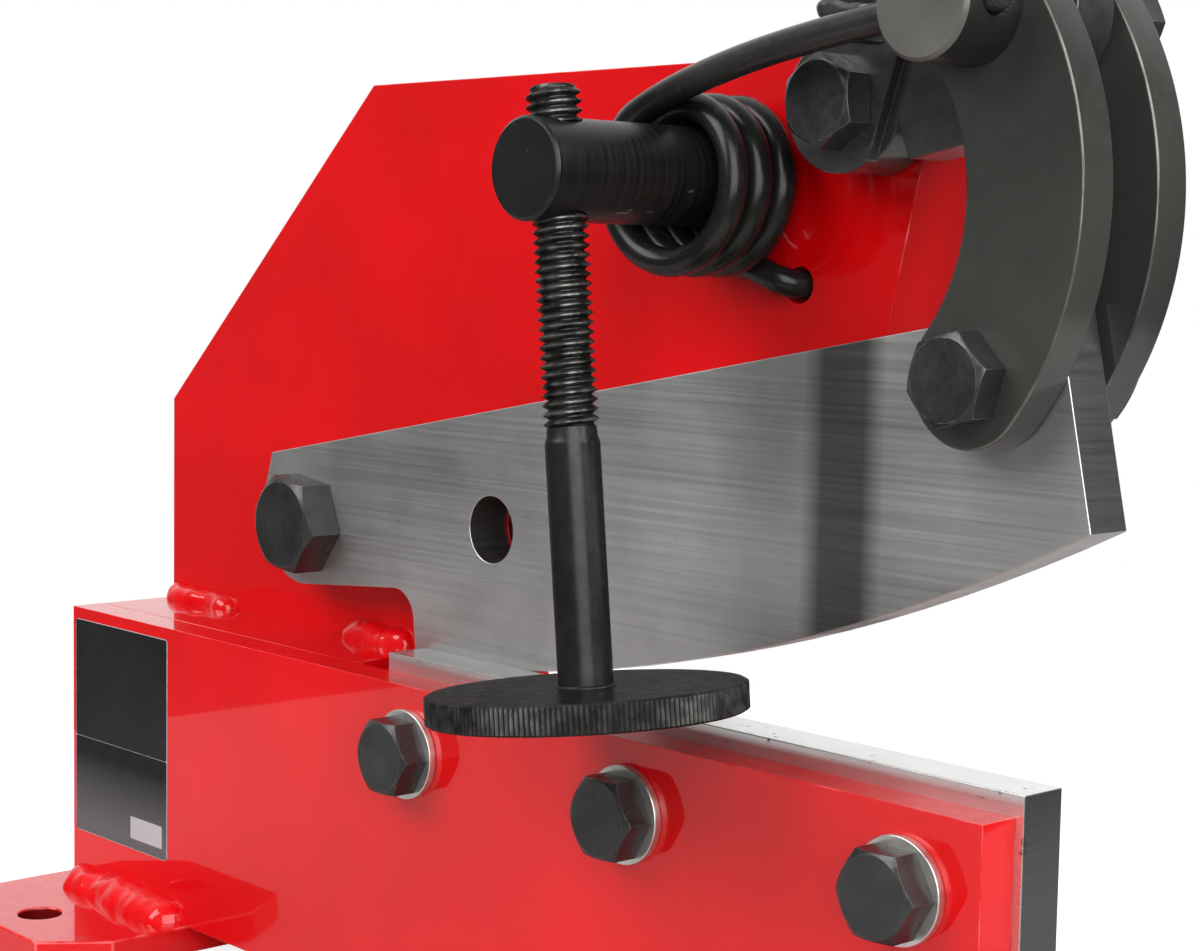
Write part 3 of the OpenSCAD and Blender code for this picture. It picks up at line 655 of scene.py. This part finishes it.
def shadeFaces(bm, node):
    paintedShadeAndBlackening = bm.verts.layers.float.new("paintedShadeAndBlackening")
    bm.normal_update()
    for f in bm.faces:
        value = faceShade(node, f)
        if value:
            for v in f.verts:
                v[paintedShadeAndBlackening] = value


def nodePiece(node, name, bm):
    finish = ownFinishes.get(node, finishes[slots[node]])
    return makePiece(name, bm, bodies[node], finish, [node])


def softPiece(node, name, width):
    bm = cadCopy(node)
    softenEdges(bm, width)
    shadeFaces(bm, node)
    return nodePiece(node, name, bm)


for node, (name, width) in softPieces.items():
    softPiece(node, name, width)
for node in ("blade_pivot_shim", "lever_pivot_shim"):
    frame["nodes"][node].data.materials[0] = finishes["zinc"]
print("plates, blades, links and lever dressed")


# Bolts whose ends show behind their nuts: name, place, thread radius, pitch, y of the cut and of the end

boltEnds = {
    "blade_pivot_bolt": ("bladePivotBolt", "bladePivot", 6.0, 1.75, 34.8, 37.0),
    "lever_pivot_bolt": ("leverPivotBolt", "leverPivot", 4.0, 1.25, 31.6, 33.8),
    "link_blade_bolt": ("linkBladeBolt", "linkBolt", 4.0, 1.25, 24.8, 27.0),
    "link_pin": ("linkPin", "linkPin", 5.0, 1.5, 26.5, 28.7),
}
boltShape = {"softened": 0.16, "play": 0.02, "endCut": 0.8}


def threadedBolt(node, name, place, radius, pitch, cut, end):
    s = boltShape
    bm = cadCopy(node)
    cutPast(bm, (0, cut, 0), (0, 1, 0))
    closeEnds(bm)
    softenEdges(bm, s["softened"])
    shadeFaces(bm, node)
    x, z = places[place]
    thread = threadRod(radius - s["play"], pitch, 0, end - cut, 0, s["endCut"])
    joined(bm, thread, moved(x, cut, z) @ turnedBy(-90, "X"))
    return nodePiece(node, name, bm)


for node, row in boltEnds.items():
    threadedBolt(node, *row)
softPiece("handle_bolt", "handleBolt", boltShape["softened"])
print("bolts dressed")


# Welds on the frame

weldBeads = {
    # start x, end x, y and z of the corner, radius, side towards -Y or +Y
    "rows": [
        (-127, -82.5, places["frontFace"], 6, 6.0, -1), (83, 127, places["frontFace"], 6, 6.0, -1),
        (-127, -83, places["rearFace"], 6, 3.0, 1), (83, 108, places["rearFace"], 6, 3.0, 1),
        (-126.7, -101.6, places["backFace"], 68, 4.0, -1), (-59.3, -37.2, places["backFace"], 68, 4.0, -1),
    ],
    "sides": 28, "ringsPerMm": 4, "leastRings": 60,
    "ripple": 3.4, "rippleHeight": 0.07, "rippleBow": 1.3,  # length, height and bow of one ripple
    "lump": 1.15, "lumpScale": 0.1, "lumpRound": 0.5, "smallLump": 0.4, "smallScale": 2.7, "seedStep": 7,
    "body": 0.82, "outward": 0.04, "flat": 0.98,  # shares of the radius
    "sharp": 80,
}


def weldRow(x0, x1, y, z, radius, side, seed):
    s = weldBeads
    bm = bmesh.new()
    length = x1 - x0
    rings = max(s["leastRings"], int(length * s["ringsPerMm"]))
    bmesh.ops.create_uvsphere(bm, u_segments=s["sides"], v_segments=rings, radius=1)
    for v in bm.verts:
        along = math.acos(max(-1, min(1, v.co.z))) / math.pi * length
        toEnd = min(along, length - along)
        endRound = math.sqrt(max(0, 1 - (1 - min(1, toEnd / radius)) ** 2))
        turn = math.atan2(v.co.y, v.co.x)
        across, up = math.cos(turn), math.sin(turn)
        bowed = along + s["rippleBow"] * math.cos(2 * turn)
        wave = s["rippleHeight"] * abs(math.sin(math.pi * bowed / s["ripple"]))
        ring = s["lumpRound"]
        at = Vector((along * s["lumpScale"], across * ring, up * ring + seed * s["seedStep"]))
        lump = s["lump"] * (lumps.noise(at) + s["smallLump"] * lumps.noise(at * s["smallScale"]))
        r = endRound * (radius * s["body"] + wave + lump)
        v.co = Vector((x0 + along, y + side * s["outward"] * r + r * across * s["flat"], z + r * up)) * mm
    return bm


def makeWelds():
    s = weldBeads
    bm = bmesh.new()
    for seed, row in enumerate(s["rows"]):
        joined(bm, weldRow(*row, seed))
    bmesh.ops.recalc_face_normals(bm, faces=bm.faces)
    return makePiece("frameWelds", bm, "frame", finishes["red_paint"], ["weld_beads"],
                     sharp=s["sharp"], even=False)


# Black weld on the lever's pad: place up the arm, start and end across it, radius
leverBeads = {
    "rows": [
        (10.9, -4.6, 8.2, 2.3), (13.6, -7.0, 8.0, 2.5),
        (17.0, -7.2, 8.2, 2.7), (20.8, -7.0, 8.0, 2.7),
    ],
    "y": -1.3, "firstSeed": 11, "sharp": 80,
}


def makeLeverWelds():
    s = leverBeads
    bm = bmesh.new()
    x, z = places["leverPivot"]
    arm = moved(x, s["y"], z) @ turnedBy(places["leverLean"], "Y")
    for seed, (up, x0, x1, radius) in enumerate(s["rows"], s["firstSeed"]):
        joined(bm, weldRow(x0, x1, 0, 0, radius, 0, seed), arm @ moved(0, 0, up))
    bmesh.ops.recalc_face_normals(bm, faces=bm.faces)
    return makePiece("leverWelds", bm, "lever", finishes["black_paint"],
                     sharp=s["sharp"], even=False)


makeWelds()
makeLeverWelds()


# Label place on the front plate: a bare two-part film with no lettering

labelFilm = {
    "left": -125.6, "right": -88.1, "low": 18.3, "top": 65.5, "split": 39.6, "splitGap": 0.1,
    "thick": 0.12, "corner": 0.8, "rim": 0.12,
    "filmThick": 0.03, "filmCorner": 0.5,
    "patch": (-102.6, -90.0, 20.6, 25.4), "patchThick": 0.02, "patchCorner": 0.3,
}


def filmPlate(name, x0, x1, z0, z1, thick, corner, finish, lift=0.0):
    bm = bmesh.new()
    bmesh.ops.create_cube(bm, size=1)
    y = places["frontFace"] - lift
    for v in bm.verts:
        right, rear, high = (c > 0 for c in v.co)
        v.co = Vector((x1 if right else x0, y if rear else y - thick, z1 if high else z0)) * mm
    edges = [e for e in bm.edges if abs(e.verts[0].co.y - e.verts[1].co.y) > 0.5 * thick * mm]
    bmesh.ops.bevel(bm, geom=edges, offset=corner * mm, offset_type="OFFSET", affect="EDGES",
                    segments=5, profile=0.5, material=-1)
    return makePiece(name, bm, "frame", finish)


def makeLabel():
    s = labelFilm
    charcoal, black, silver = makeFilm("charcoal"), makeFilm("black"), makeFilm("silver")
    left, right = s["left"] + s["rim"], s["right"] - s["rim"]
    low, top = s["low"] + s["rim"], s["top"] - s["rim"]
    film = (s["filmThick"], s["filmCorner"])
    filmPlate("labelBorder", s["left"], s["right"], s["low"], s["top"], s["thick"], s["corner"], silver)
    filmPlate("labelUpper", left, right, s["split"], top, *film, charcoal, s["thick"])
    filmPlate("labelLower", left, right, low, s["split"] - s["splitGap"], *film, black, s["thick"])
    lift = s["thick"] + s["filmThick"]
    filmPlate("labelPatch", *s["patch"], s["patchThick"], s["patchCorner"], silver, lift)


makeLabel()
print("welds and label place made")


# Hold-down screw and disc, drawn along +Z in the screw's own frame

screwSizes = {
    "y": -34.6, "lean": -6.3,
    "d": 8.7, "pitch": 1.49, "top": 13.0, "threadLow": -39.7, "low": -80.2,
    "lowCut": 0.3, "topCut": 1.1, "steps": 40,
    "core": (0.9, 0.5),  # in from the surface and up into the thread
    "neck": [(0.9, 0), (0.45, -0.15), (0.35, -1.6), (0.12, -2.25), (0, -2.8)],  # in, and up from the thread
    "foot": [(0, 0.25), (0.25, 0)],  # in, and up from the low end
    "spigot": 2.8, "spigotD": 6.1, "sharp": 30,
}


def screwFrame():
    x, z = places["bar"]
    return moved(x, screwSizes["y"], z) @ turnedBy(screwSizes["lean"], "Y")


def makeScrew():
    s = screwSizes
    r, low, threadLow = s["d"] / 2, s["low"], s["threadLow"]
    bm = threadRod(r, s["pitch"], threadLow, s["top"], s["lowCut"], s["topCut"], s["steps"])
    inward, into = s["core"]
    profile = [(0, threadLow + into), (r - inward, threadLow + into)]
    profile += [(r - away, threadLow + up) for away, up in s["neck"]]
    profile += [(r - away, low + up) for away, up in s["foot"]]
    profile += [(s["spigotD"] / 2, low), (s["spigotD"] / 2, low - s["spigot"]), (0, low - s["spigot"])]
    shank = bmesh.new()
    turned(shank, profile)
    joined(bm, shank)
    bmesh.ops.transform(bm, matrix=screwFrame(), verts=bm.verts)
    return makePiece("holdDownScrew", bm, "hold_down", oiledBlack, ["hold_down_screw"],
                     sharp=s["sharp"])


discSizes = {
    "d": 50.6, "t": 4.7, "ribs": 190, "ribDepth": 0.26, "cut": 0.35,
    "ribWear": 0.2, "wearBand": 0.02, "sharp": 25,
    # collar of weld round the shank: out from it, and up from the disc's top
    "collar": [(-0.6, -0.3), (0.5, -0.3), (0.42, 0.12), (0.2, 0.36), (-0.6, 0.42), (-0.6, -0.3)],
}


def ribbedDisc():
    s = discSizes
    bm = bmesh.new()
    r, low, count = s["d"] / 2, screwSizes["low"] - s["t"], 2 * s["ribs"]
    rib, cut = s["ribDepth"], s["cut"]
    levels = [(cut, 0, rib), (s["t"] - cut, 0, rib), (s["t"], cut + rib, 0)]
    ring = bmesh.ops.create_circle(bm, cap_ends=True, segments=count, radius=(r - cut - rib) * mm)
    bmesh.ops.translate(bm, vec=(0, 0, low * mm), verts=ring["verts"])
    face = bm.faces[:]
    for level, (up, inset, depth) in enumerate(levels):
        made = bmesh.ops.extrude_face_region(bm, geom=face)["geom"]
        if level > 0:
            bmesh.ops.delete(bm, geom=face, context="FACES_ONLY")
        face = [g for g in made if isinstance(g, bmesh.types.BMFace)]
        for v in (g for g in made if isinstance(g, bmesh.types.BMVert)):
            angle = math.atan2(v.co.y, v.co.x)
            odd = round(angle / math.tau * count) % 2
            away = (r - inset - (depth if odd else 0)) * mm
            v.co = (away * math.cos(angle), away * math.sin(angle), (low + up) * mm)
    wearAndSheen = bm.verts.layers.float.new("wearAndSheen")
    for v in bm.verts:
        v[wearAndSheen] = s["ribWear"] if math.hypot(v.co.x, v.co.y) > (r - s["wearBand"]) * mm else 0
    return bm


def makeDisc():
    s = discSizes
    bm = ribbedDisc()
    collar = bmesh.new()
    turned(collar, [(screwSizes["d"] / 2 + out, screwSizes["low"] + up) for out, up in s["collar"]])
    joined(bm, collar)
    bmesh.ops.recalc_face_normals(bm, faces=bm.faces)
    bmesh.ops.transform(bm, matrix=screwFrame(), verts=bm.verts)
    return makePiece("holdDownDisc", bm, "hold_down", oiledBlack, ["hold_down_disc"],
                     sharp=s["sharp"])


makeScrew()
makeDisc()
print("hold-down screw and disc made")


# Return spring: one round wire, from its tail in the back plate round the bar to its leg in the pin's boss

springWire = {
    "d": 4.8, "coilR": 12.7, "pitch": 5.6, "turn": 1235, "rear": 6.7, "tail": (65.117, 142.776),
    "tailStart": 16.15, "tailBend": 4.0, "tailSlope": 20, "legY": -13.5, "legSlope": 5, "legEnd": 10.0,
    "step": 5, "tailSteps": 8, "legSteps": 30, "sides": 5,
    "tip": [(0.94, 1.0), (0.98, 0.93), (1.0, 0.72)],  # place along the last stretch, share of the thickness
    "legSheenFull": 5,  # the leg's painted sheen is full this far outside the coil
    "sharp": 50,
}


def polar(r, degrees):
    return Vector((math.cos(math.radians(degrees)), math.sin(math.radians(degrees)))) * r


# Where the line from p at slope a meets the line through q at slope b
def meeting(p, a, q, b):
    w = q - p
    down, across = math.sin(math.radians(b)), math.cos(math.radians(b))
    return p + polar((w.x * down - w.y * across) / math.sin(math.radians(b - a)), a)


def curveThrough(start, corner, end, t):
    return start * (1 - t) ** 2 + corner * 2 * t * (1 - t) + end * t ** 2


def springPath():
    s = springWire
    centre, pin, tail = Vector(places["coil"]), Vector(places["linkPin"]), Vector(s["tail"])
    back = 180 - s["tailSlope"]
    path = [(tail.x, s["tailStart"], tail.y)]
    for i in range(s["tailSteps"] + 1):
        a = math.radians(90 * i / s["tailSteps"])
        p = tail + polar(s["tailBend"] * (1 - math.cos(a)), back)
        path.append((p.x, s["rear"] + s["tailBend"] * (1 - math.sin(a)), p.y))
    flat, start = tail + polar(s["tailBend"], back), centre - Vector((0, s["coilR"]))
    corner = meeting(flat, back, start, 0)
    for i in range(1, s["tailSteps"]):
        p = curveThrough(flat, corner, start, i / s["tailSteps"])
        path.append((p.x, s["rear"], p.y))
    for i in range(int(s["turn"] / s["step"]) + 1):
        a = math.radians(i * s["step"])
        path.append((centre.x - s["coilR"] * math.sin(a), s["rear"] - s["pitch"] * i * s["step"] / 360,
                     centre.y - s["coilR"] * math.cos(a)))
    end = Vector(path[-1])
    turn = meeting(Vector((end.x, end.z)), 180 - s["turn"], pin, s["legSlope"])
    middle, last = Vector((turn.x, end.y, turn.y)), Vector((pin.x, s["legY"], pin.y))
    for i in range(1, s["legSteps"] + 1):
        path.append(tuple(curveThrough(end, middle, last, i / s["legSteps"])))
    tip = pin + polar(s["legEnd"], s["legSlope"])
    path.append((tip.x, s["legY"], tip.y))
    return [Vector(p) * mm for p in path]


def springMesh():
    s = springWire
    path = springPath()
    points = [(p, 1.0) for p in path[:-1]]
    points += [(path[-2].lerp(path[-1], share), thick) for share, thick in s["tip"]]
    line = bpy.data.curves.new("springLine", "CURVE")
    line.dimensions = "3D"
    line.bevel_depth = s["d"] / 2 * mm
    line.bevel_resolution = s["sides"]
    line.use_fill_caps = True
    spline = line.splines.new("POLY")
    spline.points.add(len(points) - 1)
    for point, (place, thick) in zip(spline.points, points):
        point.co = (*place, 1)
        point.radius = thick
    holder = bpy.data.objects.new("springLine", line)
    bpy.context.scene.collection.objects.link(holder)
    bpy.context.view_layer.update()
    mesh = bpy.data.meshes.new_from_object(holder.evaluated_get(bpy.context.evaluated_depsgraph_get()))
    bm = bmesh.new()
    bm.from_mesh(mesh)
    bpy.data.objects.remove(holder)
    bpy.data.meshes.remove(mesh)
    bmesh.ops.remove_doubles(bm, verts=bm.verts, dist=meshCare["merge"])
    bmesh.ops.recalc_face_normals(bm, faces=bm.faces)
    return bm


def makeSpring():
    s = springWire
    bm = springMesh()
    x, z = places["coil"]
    wearAndSheen = bm.verts.layers.float.new("wearAndSheen")  # the leg above the coil's axis is painted a lighter grey: painted sheen
    for v in bm.verts:
        away = math.hypot(v.co.x / mm - x, v.co.z / mm - z) - s["coilR"] - s["d"] / 2
        v[wearAndSheen] = min(1, max(0, away / s["legSheenFull"])) if v.co.z > z * mm else 0
    piece = makePiece("returnSpring", bm, None, finishes["spring_wire"], ["return_spring"],
                      sharp=s["sharp"], even=False)
    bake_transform(piece)
    return piece


makeSpring()
print("return spring made")


# Handle grip with moulded ribs, drawn from its open end

gripSizes = {
    "r": 14.2, "bore": 11.05, "long": 129.0, "start": 295.0, "shift": 10.5, "y": 4.5,
    "ribs": 26, "ribDepth": 0.7, "ribStart": 6, "plain": 22,  # plain is the length that has no ribs
    "groove": ((0, 0), (0.12, 0.6), (0.3, 1), (0.5, 1), (0.68, 0.6), (0.8, 0)),  # shares of pitch and depth
    "mouth": 0.8, "lip": 5, "end": 15, "endRound": 4, "endTurns": (20, 40, 60, 80, 90),
    "steps": 64, "sharp": 60,
}


def makeGrip():
    s = gripSizes
    r, long, bore, endRound = s["r"], s["long"], s["bore"], s["endRound"]
    profile = [(bore, 0), (r - s["mouth"], 0), (r, s["mouth"]), (r, s["lip"])]
    pitch = (long - s["plain"]) / s["ribs"]
    for i in range(s["ribs"]):
        z = s["ribStart"] + i * pitch
        profile += [(r - s["ribDepth"] * deep, z + share * pitch) for share, deep in s["groove"]]
    profile += [(r, long - s["end"]), (r, long - endRound)]
    for degrees in s["endTurns"]:
        bend = polar(endRound, degrees)
        profile.append((r - endRound + bend.x, long - endRound + bend.y))
    profile += [(0, long), (0, long - endRound), (bore, long - endRound), (bore, 0)]
    bm = bmesh.new()
    turned(bm, profile, s["steps"])
    x, z = places["leverPivot"]
    place = moved(x, s["y"], z) @ turnedBy(places["leverLean"], "Y") @ moved(s["shift"], 0, s["start"])
    bmesh.ops.transform(bm, matrix=place, verts=bm.verts)
    return makePiece("handleGrip", bm, "lever", finishes["grip_rubber"], ["handle_grip"],
                     sharp=s["sharp"], even=False)


makeGrip()
print("grip made")


# Studio: pale floor, soft light, the photograph's camera. Lengths here are in metres.

studio = {
    "floor": 0.42, "floorTint": (1.03, 1.03, 1.02), "floorGrain": (3, 2), "floorRough": 0.8,
    "floorReach": 0.30, "floorDrop": 0.0002, "floorGlow": 0.80,
    "dim": 0.12, "backdrop": 1.0,  # room behind the camera, wall behind the object
    "wallAhead": 0.87, "wallLift": 0.5, "wallRamp": (0.38, 0.85),
    # place, width and power of each lamp
    "key": ((-0.45, -1.20, 1.15), 1.1, 24.0),
    "side": ((1.15, -0.75, 0.65), 1.3, 26.0),
    "rear": ((1.25, 0.45, 0.75), 0.9, 15.0),
    "lampAim": (0.02, 0, 0.13),
}
photoCamera = {
    "place": (0.3299, -0.27446, 0.14654),
    "turn": 0.833756765, "down": 0.092538695, "roll": -0.018397418,  # radians
    "lens": 70.17, "sensor": 36,  # millimetres
    "clip": (0.01, 50),
}


def seenDirectly(tree):
    return tree.nodes.new("ShaderNodeLightPath").outputs["Is Camera Ray"]


def makeWorld():
    world = bpy.data.worlds.new("studioWorld")
    bpy.context.scene.world = world
    world.use_nodes = True
    tree = world.node_tree
    background = tree.nodes["Background"]
    background.inputs["Color"].default_value = (1, 1, 1, 1)
    # A white wall behind the object, a dimmer room behind the camera
    toWall = addNode(tree, "VectorMath", operation="DOT_PRODUCT")
    tree.links.new(tree.nodes.new("ShaderNodeTexCoord").outputs["Generated"], toWall.inputs[0])
    turn, ahead = photoCamera["turn"], studio["wallAhead"]
    toWall.inputs[1].default_value = (-math.sin(turn) * ahead, math.cos(turn) * ahead, studio["wallLift"])
    glow = remap(tree, toWall.outputs["Value"], *studio["wallRamp"], studio["dim"], studio["backdrop"])
    strength = remap(tree, seenDirectly(tree), 0, 1, glow, 1.0)  # the camera itself sees plain white
    tree.links.new(strength, background.inputs["Strength"])


def makeFloor():
    bm = bmesh.new()
    bmesh.ops.create_grid(bm, x_segments=1, y_segments=1, size=studio["floorReach"])
    bmesh.ops.translate(bm, vec=(0, 0, -studio["floorDrop"]), verts=bm.verts)
    mesh = bpy.data.meshes.new("floor")
    bm.to_mesh(mesh)
    bm.free()
    floor = bpy.data.objects.new("floor", mesh)
    bpy.context.scene.collection.objects.link(floor)
    finish, tree, shader, coords = newFinish("paleFloor")
    pale = studio["floor"]
    tinted = tuple(pale * share for share in studio["floorTint"])
    colour = mixed(tree, grain(tree, coords, *studio["floorGrain"]), (pale, pale, pale), tinted)
    plug(tree, shader.inputs["Base Color"], colour)
    shader.inputs["Roughness"].default_value = studio["floorRough"]
    shader.inputs["Emission Color"].default_value = (1, 1, 1, 1)
    glow = remap(tree, seenDirectly(tree), 0, 1, 0, studio["floorGlow"])
    tree.links.new(glow, shader.inputs["Emission Strength"])
    mesh.materials.append(finish)


def makeLamp(name, place, size, power):
    lamp = bpy.data.lights.new(name, "AREA")
    lamp.shape = "SQUARE"
    lamp.size = size
    lamp.energy = power
    holder = bpy.data.objects.new(name, lamp)
    bpy.context.scene.collection.objects.link(holder)
    holder.location = place
    aim = Vector(studio["lampAim"]) - Vector(place)
    holder.rotation_euler = aim.to_track_quat("-Z", "Y").to_euler()
    holder.visible_camera = False


def makeCamera():
    s = photoCamera
    view = bpy.data.cameras.new("photoCamera")
    view.lens, view.sensor_width = s["lens"], s["sensor"]
    view.clip_start, view.clip_end = s["clip"]
    camera = bpy.data.objects.new("photoCamera", view)
    bpy.context.scene.collection.objects.link(camera)
    level = Matrix.Rotation(s["turn"], 4, "Z") @ Matrix.Rotation(math.pi / 2 - s["down"], 4, "X")
    camera.matrix_world = Matrix.Translation(s["place"]) @ level @ Matrix.Rotation(-s["roll"], 4, "Z")
    bpy.context.scene.camera = camera


makeWorld()
makeFloor()
for name in ("key", "side", "rear"):
    makeLamp(name + "Lamp", *studio[name])
makeCamera()
bpy.context.scene.view_settings.view_transform = "Standard"
print("studio made")
